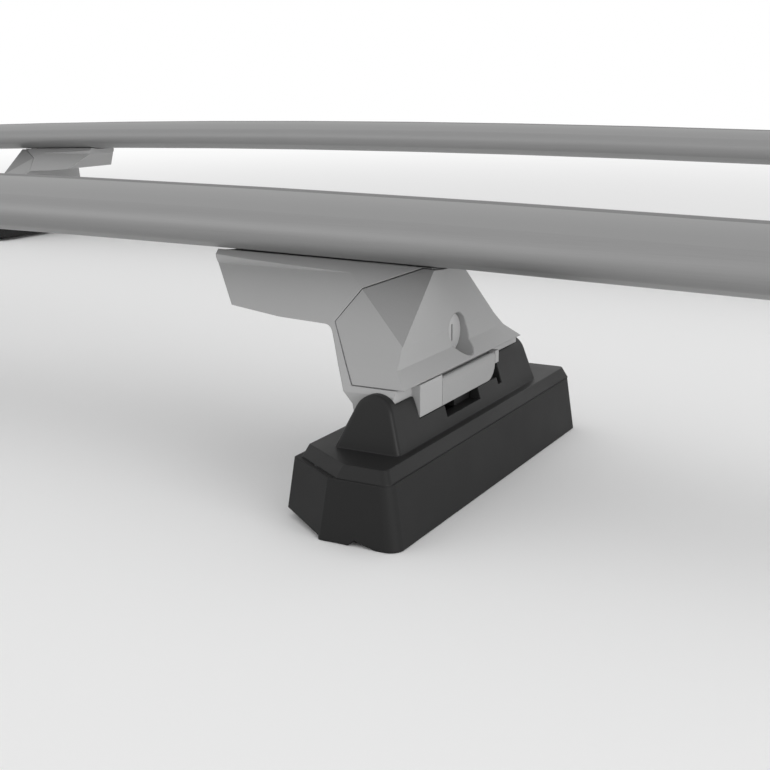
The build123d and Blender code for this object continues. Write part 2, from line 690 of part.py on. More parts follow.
def make_bar_bolt(slope):
    """T-bolt whose square head rides in the bar's lower slot."""
    head_low = bolt_head_height(slope)
    with BuildPart() as bar_bolt:
        with Locations((BOLT_X, 0, head_low)):
            Box(
                BOLT_HEAD_SIZE,
                BOLT_HEAD_SIZE,
                BOLT_HEAD_HEIGHT,
                align=(Align.CENTER, Align.CENTER, Align.MIN),
            )
            Cylinder(BOLT_RADIUS, BOLT_LENGTH, align=(Align.CENTER, Align.CENTER, Align.MAX))
    return bar_bolt.part


def make_bar_nut():
    """Hexagon nut that pulls the tower up to the bar."""
    with BuildPart() as bar_nut:
        with BuildSketch(Plane.XY.offset(NUT_SEAT_Z)):
            with Locations((BOLT_X, 0)):
                RegularPolygon(NUT_ACROSS_FLATS / 2, 6, major_radius=False)
                Circle(BOLT_RADIUS + STRIP_CLEARANCE, mode=Mode.SUBTRACT)
        extrude(amount=-NUT_HEIGHT)
    return bar_nut.part


def make_lever():
    """Release lever: a plate under the cover with a hook nose behind it."""
    half = LEVER_THICKNESS / 2
    with BuildPart() as lever:
        with BuildSketch(Plane.XZ.offset(-LEVER_FRONT)):
            with Locations((LEVER_PIVOT_X, LEVER_PIVOT_Z)):
                Circle(half)
            with Locations((LEVER_PIVOT_X, LEVER_PIVOT_Z)):
                Rectangle(LEVER_THICKNESS, LEVER_PIVOT_Z - LEVER_BOTTOM, align=(Align.CENTER, Align.MAX))
        extrude(amount=-(LEVER_REAR - LEVER_FRONT))
        low_corner = lever.edges().filter_by(Axis.X).group_by(Axis.Z)[0].sort_by(Axis.Y)[-1]
        fillet(low_corner, LEVER_CORNER)
        with BuildSketch(Plane.XZ.offset(-NOSE_FRONT)):
            Polygon(
                (NOSE_TIP, NOSE_TOP),
                (LEVER_PIVOT_X, NOSE_TOP),
                (LEVER_PIVOT_X, NOSE_BOTTOM),
                (NOSE_TIP, NOSE_BOTTOM),
                align=None,
            )
        extrude(amount=-(NOSE_REAR - NOSE_FRONT))
        with BuildSketch(Plane.XZ.offset(-LEVER_FRONT)):
            with Locations((LEVER_PIVOT_X, LEVER_PIVOT_Z)):
                Circle(LEVER_PIN_RADIUS + LEVER_BORE_CLEARANCE)
        extrude(amount=-ROOMY, mode=Mode.SUBTRACT)
    return lever.part


def make_lever_pin():
    """Steel pin through the lever, held in the tower at both ends."""
    front = LEVER_FRONT - LEVER_SIDE_GAP - LEVER_EAR_WIDTH
    rear = LEVER_REAR + LEVER_SIDE_GAP + LEVER_EAR_WIDTH
    with BuildPart() as lever_pin:
        with BuildSketch(Plane.XZ.offset(-front)):
            with Locations((LEVER_PIVOT_X, LEVER_PIVOT_Z)):
                Circle(LEVER_PIN_RADIUS)
        extrude(amount=-(rear - front))
    return lever_pin.part


def make_cover(half_track):
    """Faceted shell that pulls off outwards; a round pocket holds the lock."""
    inset = COVER_WALL * math.sqrt(2)
    with BuildPart() as cover:
        with BuildSketch(Plane.XZ):
            Polygon(
                SEAM_LOW,
                (FLARE_TIP_X, COVER_BOTTOM),
                FLARE_TOP,
                FACE_LOW,
                FACE_TOP,
                (SEAM_CREST[0], FACE_TOP[1]),
                SEAM_CREST,
                SEAM_TOP,
                SEAM_KNEE,
                align=None,
            )
        extrude(amount=ROOMY, both=True)
        extrude(spread_sketch(0), amount=ROOMY, both=True, mode=Mode.INTERSECT)
        for side in (1, -1):
            add(facet_tool(side, 0), mode=Mode.SUBTRACT)
        add(bar_envelope(half_track, COVER_BAR_GAP), mode=Mode.SUBTRACT)
    with BuildPart() as hollow:
        with BuildSketch(Plane.XZ):
            Polygon(
                (-ROOMY, 0),
                (LOWER_BODY_OUTBOARD - COVER_WALL, 0),
                (LOWER_BODY_OUTBOARD - COVER_WALL, COVER_BOTTOM),
                (FLARE_TOP[0] - COVER_WALL, FLARE_TOP[1]),
                (FACE_LOW[0] - COVER_WALL, FACE_LOW[1]),
                (FACE_TOP[0] - COVER_WALL, FACE_TOP[1]),
                (-ROOMY, FACE_TOP[1]),
                align=None,
            )
        extrude(amount=ROOMY, both=True)
        extrude(spread_sketch(inset), amount=ROOMY, both=True, mode=Mode.INTERSECT)
        for side in (1, -1):
            add(facet_tool(side, COVER_WALL), mode=Mode.SUBTRACT)
    cup_back = LOCK_POCKET_FLOOR - LOCK_CUP_WALL
    with BuildPart() as shell:
        add(cover.part)
        add(hollow.part, mode=Mode.SUBTRACT)
        with BuildSketch(Plane.YZ.offset(cup_back)):
            with Locations((LOCK_Y, LOCK_Z)):
                Circle(LOCK_POCKET_RADIUS + LOCK_CUP_WALL)
        extrude(amount=FACE_LOW[0] - COVER_WALL / 2 - cup_back)
        with BuildSketch(Plane.XY.offset(COVER_BOTTOM)):
            Rectangle(ROOMY, ROOMY)
        extrude(amount=-ROOMY, mode=Mode.SUBTRACT)
        with BuildSketch(Plane.YZ.offset(LOCK_POCKET_FLOOR)):
            with Locations((LOCK_Y, LOCK_Z)):
                Circle(LOCK_POCKET_RADIUS)
        extrude(amount=ROOMY, mode=Mode.SUBTRACT)
        with BuildSketch(Plane.YZ.offset(cup_back)):
            with Locations((LOCK_Y, LOCK_Z)):
                Circle(LOCK_RADIUS + LOCK_CLEARANCE)
        extrude(amount=ROOMY, mode=Mode.SUBTRACT)
    return shell.part


def make_lock_core():
    """Key cylinder with a keyway in its face and a quarter-turn cam behind the keeper."""
    with BuildPart() as lock_core:
        with BuildSketch(Plane.YZ.offset(CAM_FRONT)):
            with Locations((LOCK_Y, LOCK_Z)):
                Circle(LOCK_RADIUS)
        extrude(amount=LOCK_FACE - CAM_FRONT)
        with BuildSketch(Plane.YZ.offset(CAM_BACK)):
            with Locations((LOCK_Y, LOCK_Z)):
                Rectangle(2 * CAM_HALF_LENGTH, 2 * CAM_HALF_HEIGHT)
        extrude(amount=CAM_FRONT - CAM_BACK)
        with BuildSketch(Plane.YZ.offset(LOCK_FACE)):
            with Locations((LOCK_Y, LOCK_Z)):
                Rectangle(KEYWAY_WIDTH, KEYWAY_LENGTH)
        extrude(amount=-KEYWAY_DEPTH, mode=Mode.SUBTRACT)
    return lock_core.part


def save(piece, name):
    piece.label = name
    export_step(piece, f"parts/{name}.step")


for bar_name, half_track, bar_y in (
    ("front", FRONT_HALF_TRACK, -BAR_SPREAD / 2),
    ("rear", REAR_HALF_TRACK, BAR_SPREAD / 2),
):
    save(make_crossbar(half_track, bar_y), f"{bar_name}_crossbar")
    save(make_top_strip(half_track, bar_y), f"{bar_name}_top_strip")
    for side, end in (("right", 1), ("left", -1)):
        seat = Location(bar_end_plane(half_track, bar_y, end))
        save(make_end_cap().moved(seat), f"{bar_name}_{side}_end_cap")

    slope = bar_slope(half_track)
    leg_pieces = {
        "foot_pad": make_foot_pad(),
        "foot_base": make_foot_base(),
        "catch_plate": make_catch_plate(),
        "tower": make_tower(half_track),
        "saddle_pad": make_saddle_pad(half_track),
        "bar_bolt": make_bar_bolt(slope),
        "bar_nut": make_bar_nut(),
        "lever": make_lever(),
        "lever_pin": make_lever_pin(),
        "cover": make_cover(half_track),
        "lock_core": make_lock_core(),
    }
    for side, place in (
        ("right", Location((half_track, bar_y, 0))),
        ("left", Location((-half_track, bar_y, 0), (0, 0, 180))),
    ):
        for piece_name, piece in leg_pieces.items():
            save(piece.moved(place), f"{bar_name}_{side}_{piece_name}")
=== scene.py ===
"""Looks of a roof rack: two arched crossbars on four faceted, lockable legs.

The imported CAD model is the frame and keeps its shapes.  This script gives every
node its material, adds bolt threads, lock plates and the sleeves round them, and
sets the floor, light and camera.
Metres, +X along the bars, +Y from the front bar to the rear bar, +Z up.
"""

import math

import bpy
import numpy as np
from mathutils import Matrix, Vector


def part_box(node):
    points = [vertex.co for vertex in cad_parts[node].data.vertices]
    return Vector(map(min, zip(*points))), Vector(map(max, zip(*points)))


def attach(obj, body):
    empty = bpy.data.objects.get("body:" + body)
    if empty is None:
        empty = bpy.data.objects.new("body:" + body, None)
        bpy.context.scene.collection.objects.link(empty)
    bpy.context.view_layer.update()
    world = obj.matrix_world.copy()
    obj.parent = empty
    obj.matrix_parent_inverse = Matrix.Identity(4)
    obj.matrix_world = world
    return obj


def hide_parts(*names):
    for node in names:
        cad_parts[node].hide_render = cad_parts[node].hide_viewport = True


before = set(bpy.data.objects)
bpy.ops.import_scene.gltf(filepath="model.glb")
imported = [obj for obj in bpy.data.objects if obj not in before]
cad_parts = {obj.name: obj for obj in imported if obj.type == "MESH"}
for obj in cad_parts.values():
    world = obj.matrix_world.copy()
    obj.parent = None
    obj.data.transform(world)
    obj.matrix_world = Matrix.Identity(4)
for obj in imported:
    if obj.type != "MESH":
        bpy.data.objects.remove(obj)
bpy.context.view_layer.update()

MM = 0.001

# Each leg, with the direction along X in which its cover faces
LEGS = {
    "front_right": 1,
    "front_left": -1,
    "rear_right": 1,
    "rear_left": -1,
}

# Camera, as fitted to the photograph: place, angles in degrees and lens
IMAGE_WIDTH = 770
FOCAL_PIXELS = 1202.0
SENSOR_WIDTH = 36.0
CAMERA_AT = (595.3 * MM, -812.7 * MM, 188.6 * MM)
CAMERA_YAW = 28.997
CAMERA_PITCH = 14.494
CAMERA_ROLL = -0.539
CLIP_NEAR = 0.01
CLIP_FAR = 200.0

# Shared settings of the finishes
NOISE_LOW = 0.3
NOISE_HIGH = 0.7
GLOSS_DRIFT = 0.05
BEVEL_SAMPLES = 6

# Moulded finishes: fine grain, slow cloud, and a painted highlight on the edges, which start and end where
# the cosine between the flat and the softened normal has these values
GRAIN_DETAIL = 2.0
GRAIN_ROUGHNESS = 0.6
GRAIN_BUMP = 0.5
CLOUD_DETAIL = 3.0
CLOUD_ROUGHNESS = 0.5
EDGE_START = 0.99
EDGE_END = 0.8

# Anodised extrusion: die lines, and a metallic share that leaves room for the dull oxide
LINE_DETAIL = 4.0
LINE_ROUGHNESS = 0.65
LINE_GLOSS_DRIFT = 0.06
LINE_BUMP = 0.4
ANODISED_METALLIC = 0.6

# Plated steel
PLATED_EDGE = 0.25 * MM

# Painted shade on the legs' tongues, where they sit in the foot's socket: black up to just under the lever
SLOT_SHADE_BLACK = "#161616"
SLOT_SHADE_TOP = 43.6 * MM

# Upper facets of the covers, which carry a painted shade, told by their normals
FACET_RISE = 0.75
FACET_SIDEWAYS = 0.5

# Threaded T-bolts
BOLT_SIDES = 40
THREAD_PITCH = 1.25 * MM
THREAD_DEPTH = 0.68 * MM
THREAD_STEPS = 8
HEAD_HEIGHT = 3.6 * MM
HEAD_CORNER = 1.0 * MM
SHANK_RADIUS = 4.0 * MM
SHANK_PLAIN = 6.0 * MM
POINT_CHAMFER = 0.9 * MM

# Face plates on the lock cores
LOCK_SIDES = 64
PLATE_RADIUS = 9.6 * MM
PLATE_THICKNESS = 2.6 * MM
PLATE_BEVEL = 0.4 * MM
KEYWAY_WIDTH = 1.6 * MM
KEYWAY_LENGTH = 8.0 * MM

# Sleeves that line the covers' lock pockets, up to the cover's face: heights from the lock's axis there,
# and how far the face stands out from the lock core at each
SLEEVE_RADIUS = 9.95 * MM
SLEEVE_WALL = 0.2 * MM
SLEEVE_SINK = 0.15 * MM
COVER_HEIGHTS = (-11.0 * MM, -4.5 * MM, 3.0 * MM, 37.5 * MM)
COVER_REACHES = (14.4 * MM, 7.4 * MM, 5.4 * MM, 3.4 * MM)

# Floor: a board that runs out into white between two distances from the rack's middle
FLOOR_HALF = 40.0
FLOOR_DROP = 0.3 * MM
FADE_START = 0.7
FADE_END = 2.6
BOARD_COLOUR = "#f4f4f4"
BOARD_ROUGHNESS = 0.9
BOARD_SHEEN = 0.1

# Light: a white room and two square softboxes that look at the leg in view
WHITE = "#ffffff"
ROOM_LIGHT = 0.8
LIGHT_AIM = Vector((0.35, -0.3, 0.06))
KEY_AT = Vector((3.0, -1.4, 0.4))
KEY_SIZE = 1.4
KEY_WATTS = 48.0
FILL_AT = Vector((-1.4, -2.4, 0.4))
FILL_SIZE = 2.0
FILL_WATTS = 9.0


def linear(hex_colour):
    """sRGB hex colour as linear RGBA."""
    channels = [int(hex_colour[i:i + 2], 16) / 255 for i in (1, 3, 5)]
    return tuple(c / 12.92 if c <= 0.04045 else ((c + 0.055) / 1.055) ** 2.4 for c in channels) + (1.0,)


def tint(colour, share):
    """A linear colour made lighter or darker by a share."""
    return tuple(min(1.0, c * (1 + share)) for c in colour[:3]) + (1.0,)


def add_node(tree, kind, inputs=None, **settings):
    """Adds one shader node; an input is a constant or a socket to link."""
    node = tree.nodes.new(kind)
    for key, value in settings.items():
        setattr(node, key, value)
    for key, value in (inputs or {}).items():
        socket = next(s for s in node.inputs if key in (s.identifier, s.name))
        if isinstance(value, bpy.types.NodeSocket):
            tree.links.new(value, socket)
        else:
            socket.default_value = value
    return node


def start_material(name):
    """A new material, with its node tree, its shader and a point's place in the object."""
    material = bpy.data.materials.new(name)
    material.use_nodes = True
    tree = material.node_tree
    place = add_node(tree, "ShaderNodeTexCoord").outputs["Object"]
    return material, tree, tree.nodes["Principled BSDF"], place


def drifting_colour(tree, pattern, colour, drift, low, high):
    """A colour that goes from darker to lighter by a share as a pattern goes from low to high."""
    step = add_node(
        tree, "ShaderNodeMapRange", {"Value": pattern, "From Min": low, "From Max": high},
    ).outputs["Result"]
    return add_node(
        tree, "ShaderNodeMix",
        {"Factor_Float": step, "A_Color": tint(colour, -drift), "B_Color": tint(colour, drift)},
        data_type="RGBA",
    ).outputs[2]


def moulded(
    name, hex_colour, *, roughness, sheen, grain_mm, depth_mm, cloud_mm, drift, edge_mm, edge_highlight_share,
):
    """Moulded plastic or rubber: eroded-tool grain, slow cloudy drift, softened edges and a painted
    highlight along them.
    """
    material, tree, shader, place = start_material(name)
    colour = linear(hex_colour)
    grain = add_node(
        tree, "ShaderNodeTexNoise",
        {
            "Vector": place, "Scale": 1 / (grain_mm * MM),
            "Detail": GRAIN_DETAIL, "Roughness": GRAIN_ROUGHNESS,
        },
    ).outputs["Fac"]
    cloud = add_node(
        tree, "ShaderNodeTexNoise",
        {
            "Vector": place, "Scale": 1 / (cloud_mm * MM),
            "Detail": CLOUD_DETAIL, "Roughness": CLOUD_ROUGHNESS,
        },
    ).outputs["Fac"]
    both = add_node(
        tree, "ShaderNodeMath", {"Value": cloud, "Value_001": grain}, operation="ADD",
    ).outputs[0]
    mean = add_node(
        tree, "ShaderNodeMath", {"Value": both, "Value_001": 0.5}, operation="MULTIPLY",
    ).outputs[0]
    body = drifting_colour(tree, mean, colour, drift, NOISE_LOW, NOISE_HIGH)

    soft = add_node(
        tree, "ShaderNodeBevel", {"Radius": edge_mm * MM}, samples=BEVEL_SAMPLES,
    ).outputs["Normal"]
    flat = add_node(tree, "ShaderNodeNewGeometry").outputs["Normal"]
    facing = add_node(
        tree, "ShaderNodeVectorMath", {"Vector": soft, "Vector_001": flat}, operation="DOT_PRODUCT",
    ).outputs["Value"]
    edge = add_node(
        tree, "ShaderNodeMapRange", {"Value": facing, "From Min": EDGE_START, "From Max": EDGE_END},
    ).outputs["Result"]
    # Painted highlight along the edges: the colour is lighter there by a share
    highlighted = add_node(
        tree, "ShaderNodeMix",
        {"Factor_Float": edge, "A_Color": body, "B_Color": tint(colour, edge_highlight_share)},
        data_type="RGBA",
    ).outputs[2]
    tree.links.new(highlighted, shader.inputs["Base Color"])

    gloss = add_node(
        tree, "ShaderNodeMapRange",
        {
            "Value": cloud, "From Min": NOISE_LOW, "From Max": NOISE_HIGH,
            "To Min": roughness - GLOSS_DRIFT, "To Max": roughness + GLOSS_DRIFT,
        },
    ).outputs["Result"]
    tree.links.new(gloss, shader.inputs["Roughness"])
    bump = add_node(
        tree, "ShaderNodeBump",
        {"Height": grain, "Strength": GRAIN_BUMP, "Distance": depth_mm * MM, "Normal": soft},
    ).outputs["Normal"]
    tree.links.new(bump, shader.inputs["Normal"])
    shader.inputs["Specular IOR Level"].default_value = sheen
    return material


def paint_slot_shade(material, hex_colour, top):
    """Paints a shade of another colour over a moulded material up to a height over the roof."""
    tree = material.node_tree
    base = tree.nodes["Principled BSDF"].inputs["Base Color"]
    above = base.links[0].from_socket
    place = add_node(tree, "ShaderNodeTexCoord").outputs["Object"]
    height = add_node(tree, "ShaderNodeSeparateXYZ", {"Vector": place}).outputs["Z"]
    unshaded = add_node(
        tree, "ShaderNodeMath", {"Value": height, "Value_001": top}, operation="GREATER_THAN",
    ).outputs[0]
    shaded = add_node(
        tree, "ShaderNodeMix",
        {"Factor_Float": unshaded, "A_Color": linear(hex_colour), "B_Color": above},
        data_type="RGBA",
    ).outputs[2]
    tree.links.new(shaded, base)


def drawn_metal(name, hex_colour, *, roughness, line_mm, line_length_mm, drift, depth_mm):
    """Extruded and anodised aluminium: fine die lines that run along the bar."""
    material, tree, shader, place = start_material(name)
    across = 1 / (line_mm * MM)
    along = 1 / (line_length_mm * MM)
    stretched = add_node(
        tree, "ShaderNodeMapping", {"Vector": place, "Scale": (along, across, across)},
    ).outputs["Vector"]
    lines = add_node(
        tree, "ShaderNodeTexNoise",
        {"Vector": stretched, "Scale": 1.0, "Detail": LINE_DETAIL, "Roughness": LINE_ROUGHNESS},
    ).outputs["Fac"]
    body = drifting_colour(tree, lines, linear(hex_colour), drift, NOISE_LOW, NOISE_HIGH)
    tree.links.new(body, shader.inputs["Base Color"])
    gloss = add_node(
        tree, "ShaderNodeMapRange",
        {
            "Value": lines, "From Min": NOISE_LOW, "From Max": NOISE_HIGH,
            "To Min": roughness - LINE_GLOSS_DRIFT, "To Max": roughness + LINE_GLOSS_DRIFT,
        },
    ).outputs["Result"]
    tree.links.new(gloss, shader.inputs["Roughness"])
    bump = add_node(
        tree, "ShaderNodeBump", {"Height": lines, "Strength": LINE_BUMP, "Distance": depth_mm * MM},
    ).outputs["Normal"]
    tree.links.new(bump, shader.inputs["Normal"])
    shader.inputs["Metallic"].default_value = ANODISED_METALLIC
    return material


def plated_metal(name, hex_colour, *, roughness, spangle_mm, drift):
    """Plated steel: small cells of slightly different tone and gloss."""
    material, tree, shader, place = start_material(name)
    cells = add_node(
        tree, "ShaderNodeTexVoronoi", {"Vector": place, "Scale": 1 / (spangle_mm * MM)},
    ).outputs["Color"]
    tone = add_node(tree, "ShaderNodeSeparateColor", {"Color": cells}).outputs["Red"]
    body = drifting_colour(tree, tone, linear(hex_colour), drift, 0.0, 1.0)
    tree.links.new(body, shader.inputs["Base Color"])
    gloss = add_node(
        tree, "ShaderNodeMapRange",
        {"Value": tone, "To Min": roughness - GLOSS_DRIFT, "To Max": roughness + GLOSS_DRIFT},
    ).outputs["Result"]
    tree.links.new(gloss, shader.inputs["Roughness"])
    soft = add_node(
        tree, "ShaderNodeBevel", {"Radius": PLATED_EDGE}, samples=BEVEL_SAMPLES,
    ).outputs["Normal"]
    tree.links.new(soft, shader.inputs["Normal"])
    shader.inputs["Metallic"].default_value = 1.0
    return material


# Satin grey anodised extrusion, with die lines half a millimetre apart
anodised_aluminium = drawn_metal(
    "anodised_extruded_aluminium", "#8f8f8f",
    roughness=0.5, line_mm=0.5, line_length_mm=90.0, drift=0.05, depth_mm=0.01,
)
# Rubber strip, extruded in grey and dull
extruded_rubber = moulded(
    "extruded_grey_rubber", "#808080", roughness=0.75, sheen=0.25, grain_mm=0.5, depth_mm=0.03,
    cloud_mm=40.0, drift=0.05, edge_mm=0.2, edge_highlight_share=0.02,
)
# Bar ends, injection moulded in grey nylon with a fine eroded texture
cap_nylon = moulded(
    "moulded_grey_nylon_cap", "#888888", roughness=0.55, sheen=0.35, grain_mm=0.45, depth_mm=0.03,
    cloud_mm=60.0, drift=0.03, edge_mm=0.4, edge_highlight_share=0.05,
)
# Boot moulded in black rubber: dull, with a faint bloom and a painted highlight along its edges
moulded_rubber = moulded(
    "moulded_black_rubber", "#232323", roughness=0.58, sheen=0.15, grain_mm=0.5, depth_mm=0.04,
    cloud_mm=35.0, drift=0.08, edge_mm=1.2, edge_highlight_share=0.35,
)
# Foot base, black glass-filled nylon with an eroded texture and a painted highlight along its edges
black_nylon = moulded(
    "moulded_black_nylon", "#202020", roughness=0.46, sheen=0.2, grain_mm=0.4, depth_mm=0.03,
    cloud_mm=45.0, drift=0.06, edge_mm=0.9, edge_highlight_share=0.7,
)
# Leg, grey glass-filled nylon, satin; its tongue is painted black as the shade of the foot's socket
grey_nylon = moulded(
    "moulded_grey_nylon_leg", "#a1a1a1", roughness=0.5, sheen=0.35, grain_mm=0.4, depth_mm=0.03,
    cloud_mm=60.0, drift=0.025, edge_mm=0.6, edge_highlight_share=0.04,
)
paint_slot_shade(grey_nylon, SLOT_SHADE_BLACK, SLOT_SHADE_TOP)
# Cover, grey nylon in the same tool texture, a little smoother
cover_nylon = moulded(
    "moulded_grey_nylon_cover", "#9d9d9d", roughness=0.46, sheen=0.35, grain_mm=0.4, depth_mm=0.025,
    cloud_mm=60.0, drift=0.025, edge_mm=0.6, edge_highlight_share=0.04,
)
# Upper facets of the cover: painted shade of the bar above them, a darker grey with a coarser grain than
# the rest
facet_shade_nylon = moulded(
    "grey_nylon_painted_facet_shade", "#8e8e8e", roughness=0.62, sheen=0.25, grain_mm=0.7, depth_mm=0.06,
    cloud_mm=60.0, drift=0.03, edge_mm=0.4, edge_highlight_share=0.04,
)
# Release lever, grey nylon, satin
lever_nylon = moulded(
    "moulded_grey_nylon_lever", "#979797", roughness=0.48, sheen=0.35, grain_mm=0.4, depth_mm=0.03,
    cloud_mm=40.0, drift=0.025, edge_mm=0.4, edge_highlight_share=0.04,
)
# Saddle pad, grey rubber, dull
saddle_rubber = moulded(
    "moulded_grey_rubber", "#6f6f6f", roughness=0.75, sheen=0.25, grain_mm=0.5, depth_mm=0.03,
    cloud_mm=30.0, drift=0.05, edge_mm=0.3, edge_highlight_share=0.02,
)
# Lock core and its plate, zinc castings painted grey: smooth, with a painted highlight on their edges
painted_casting = moulded(
    "painted_grey_die_casting", "#b2b2b2", roughness=0.4, sheen=0.4, grain_mm=0.6, depth_mm=0.01,
    cloud_mm=25.0, drift=0.02, edge_mm=0.3, edge_highlight_share=0.06,
)
# Bolts, nuts and hinge pins, turned steel with bright zinc plating
zinc_steel = plated_metal("zinc_plated_steel", "#a8a8a8", roughness=0.4, spangle_mm=1.2, drift=0.06)
# Catch plate, pressed steel, nearly matt; its black is painted shade inside the foot's slot
slot_shade_steel = plated_metal("steel_painted_slot_shade", "#1c1c1c", roughness=0.55, spangle_mm=1.0, drift=0.08)

# Finish of each node, by the end of its name
FINISHES = {
    "crossbar": anodised_aluminium,
    "top_strip": extruded_rubber,
    "end_cap": cap_nylon,
    "foot_pad": moulded_rubber,
    "foot_base": black_nylon,
    "catch_plate": slot_shade_steel,
    "tower": grey_nylon,
    "saddle_pad": saddle_rubber,
    "bar_bolt": zinc_steel,
    "bar_nut": zinc_steel,
    "lever": lever_nylon,
    "lever_pin": zinc_steel,
    "cover": cover_nylon,
    "lock_core": painted_casting,
}

for node_name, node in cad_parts.items():
    ending = next(e for e in FINISHES if node_name.endswith(e))
    node.data.materials.clear()
    node.data.materials.append(FINISHES[ending])


def shade_upper_facets(cover):
    """Gives the darker material, painted shade with a coarser grain, to the faces that lean back further
    than the leg's sides.

    Those are the faces whose normal has a z above FACET_RISE and an absolute y above FACET_SIDEWAYS.
    """
    faces = cover.data.polygons
    normals = np.empty(3 * len(faces))
    faces.foreach_get("normal", normals)
    normals = normals.reshape(-1, 3)
    leaning = (normals[:, 2] > FACET_RISE) & (np.abs(normals[:, 1]) > FACET_SIDEWAYS)
    cover.data.materials.append(facet_shade_nylon)
    faces.foreach_set("material_index", leaning.astype(np.int32))


def add_surface(name, points, faces, material, body):
    """Makes one mesh object at the origin and lets it ride on a body."""
    mesh = bpy.data.meshes.new(name)
    mesh.from_pydata(points.reshape(-1, 3).tolist(), [], faces)
    mesh.update()
    piece = bpy.data.objects.new(name, mesh)
    bpy.context.scene.collection.objects.link(piece)
    mesh.materials.append(material)
    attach(piece, body)
    return piece


def ring_faces(grid):
    """Faces between the rows of a grid of point numbers, each row a closed ring.

    They point outwards where the rows run down the outside and each ring runs anticlockwise
    seen from the top.
    """
    beside = np.roll(grid, -1, axis=1)
    return np.stack([beside[:-1], grid[:-1], grid[1:], beside[1:]], axis=-1).reshape(-1, 4).tolist()


def threaded_bolt(low, high):
    """Points and faces of a T-bolt in the box of its CAD node, from the head down to the point.

    A ring at height z has radius r(a) = SHANK_RADIUS - THREAD_DEPTH * (1 - tri(z / pitch - a / 2 pi))
    on the thread, SHANK_RADIUS on the plain shank, and on the head the square
    max(|cos a|, |sin a|) r = half side, with its corners rounded.  tri is a triangle wave from 0 to 1.
    The thread grows to its full depth over the first pitch, and the point is chamfered.
    """
    centre = (low + high) / 2
    half_side = (high.x - low.x) / 2
    head_low = high.z - HEAD_HEIGHT
    thread_top = head_low - SHANK_PLAIN
    angle = np.linspace(0, 2 * math.pi, BOLT_SIDES, endpoint=False)
    square = half_side / np.maximum(np.abs(np.cos(angle)), np.abs(np.sin(angle)))
    square = np.minimum(square, half_side * math.sqrt(2) - HEAD_CORNER)
    shank = np.full(BOLT_SIDES, SHANK_RADIUS)

    steps = int((thread_top - low.z) / THREAD_PITCH * THREAD_STEPS)
    thread_z = np.linspace(thread_top - THREAD_PITCH / THREAD_STEPS, low.z, steps)[:, None]
    turn = (thread_z / THREAD_PITCH - angle / (2 * math.pi)) % 1.0
    crest = 1 - np.abs(2 * turn - 1)
    fade = np.minimum(1.0, (thread_top - thread_z) / THREAD_PITCH)
    thread = SHANK_RADIUS - THREAD_DEPTH * fade * (1 - crest)
    point = SHANK_RADIUS - np.maximum(0.0, POINT_CHAMFER - (thread_z - low.z))

    radius = np.vstack(
        [square - HEAD_CORNER / 2, square, square, shank, shank, np.minimum(thread, point)],
    )
    head_z = [high.z, high.z - HEAD_CORNER / 2, head_low, head_low, thread_top]
    height = np.broadcast_to(np.concatenate([head_z, thread_z[:, 0]])[:, None], radius.shape)
    points = np.stack(
        [centre.x + radius * np.cos(angle), centre.y + radius * np.sin(angle), height], axis=-1,
    )
    grid = np.arange(radius.size).reshape(radius.shape)
    return points, [grid[0].tolist()] + ring_faces(grid) + [grid[-1, ::-1].tolist()]


def unit_circle():
    """(cos t, sin t) at LOCK_SIDES angles."""
    angle = np.linspace(0, 2 * math.pi, LOCK_SIDES, endpoint=False)
    return np.stack([np.cos(angle), np.sin(angle)])


def lock_surface(low, high, outward, depths, rings):
    """Points and faces of rings round a lock's axis, the last of which joins the first.

    Ring k at angle t stands out from the core's face by depths[k, t] and lies at rings[k, :, t] across
    and up from the axis.  low and high are the core's box, and outward is 1 or -1 along X.
    """
    centre = (low + high) / 2
    face = high.x if outward > 0 else low.x
    points = np.stack(
        [face + outward * depths, centre.y + outward * rings[:, 0], centre.z + rings[:, 1]], axis=-1,
    )
    grid = np.arange(depths.size).reshape(depths.shape)
    return points, ring_faces(np.vstack([grid, grid[:1]]))


def lock_plate(low, high, outward):
    """Points and faces of the bevelled disc on the face of a lock core, with the keyway through it.

    At angle t its outer rings are R (cos t, sin t), and its inner ones the keyway's rectangle,
    (w / 2 * clip(sqrt 2 cos t), l / 2 * clip(sqrt 2 sin t)) with clip to -1 and 1.
    """
    circle = unit_circle()
    keyway = np.clip(math.sqrt(2) * circle, -1, 1) * [[KEYWAY_WIDTH / 2], [KEYWAY_LENGTH / 2]]
    rim = PLATE_RADIUS * circle
    rings = np.stack([keyway, (PLATE_RADIUS - PLATE_BEVEL) * circle, rim, rim, keyway])
    front = np.full(LOCK_SIDES, PLATE_THICKNESS)
    back = np.zeros(LOCK_SIDES)
    depths = np.stack([front, front, front - PLATE_BEVEL, back, back])
    return lock_surface(low, high, outward, depths, rings)


def lock_sleeve(low, high, outward):
    """Points and faces of the thin sleeve that lines a lock pocket.

    Its rings are R (cos t, sin t), and its front edge stands out by the cover's reach at the height
    R sin t, read off the straight lines between COVER_HEIGHTS, less SLEEVE_SINK.
    """
    circle = unit_circle()
    outer = SLEEVE_RADIUS * circle
    inner = (SLEEVE_RADIUS - SLEEVE_WALL) * circle
    outer_front = np.interp(outer[1], COVER_HEIGHTS, COVER_REACHES) - SLEEVE_SINK
    inner_front = np.interp(inner[1], COVER_HEIGHTS, COVER_REACHES) - SLEEVE_SINK
    back = np.zeros(LOCK_SIDES)
    rings = np.stack([outer, outer, inner, inner])
    depths = np.stack([outer_front, back, back, inner_front])
    return lock_surface(low, high, outward, depths, rings)


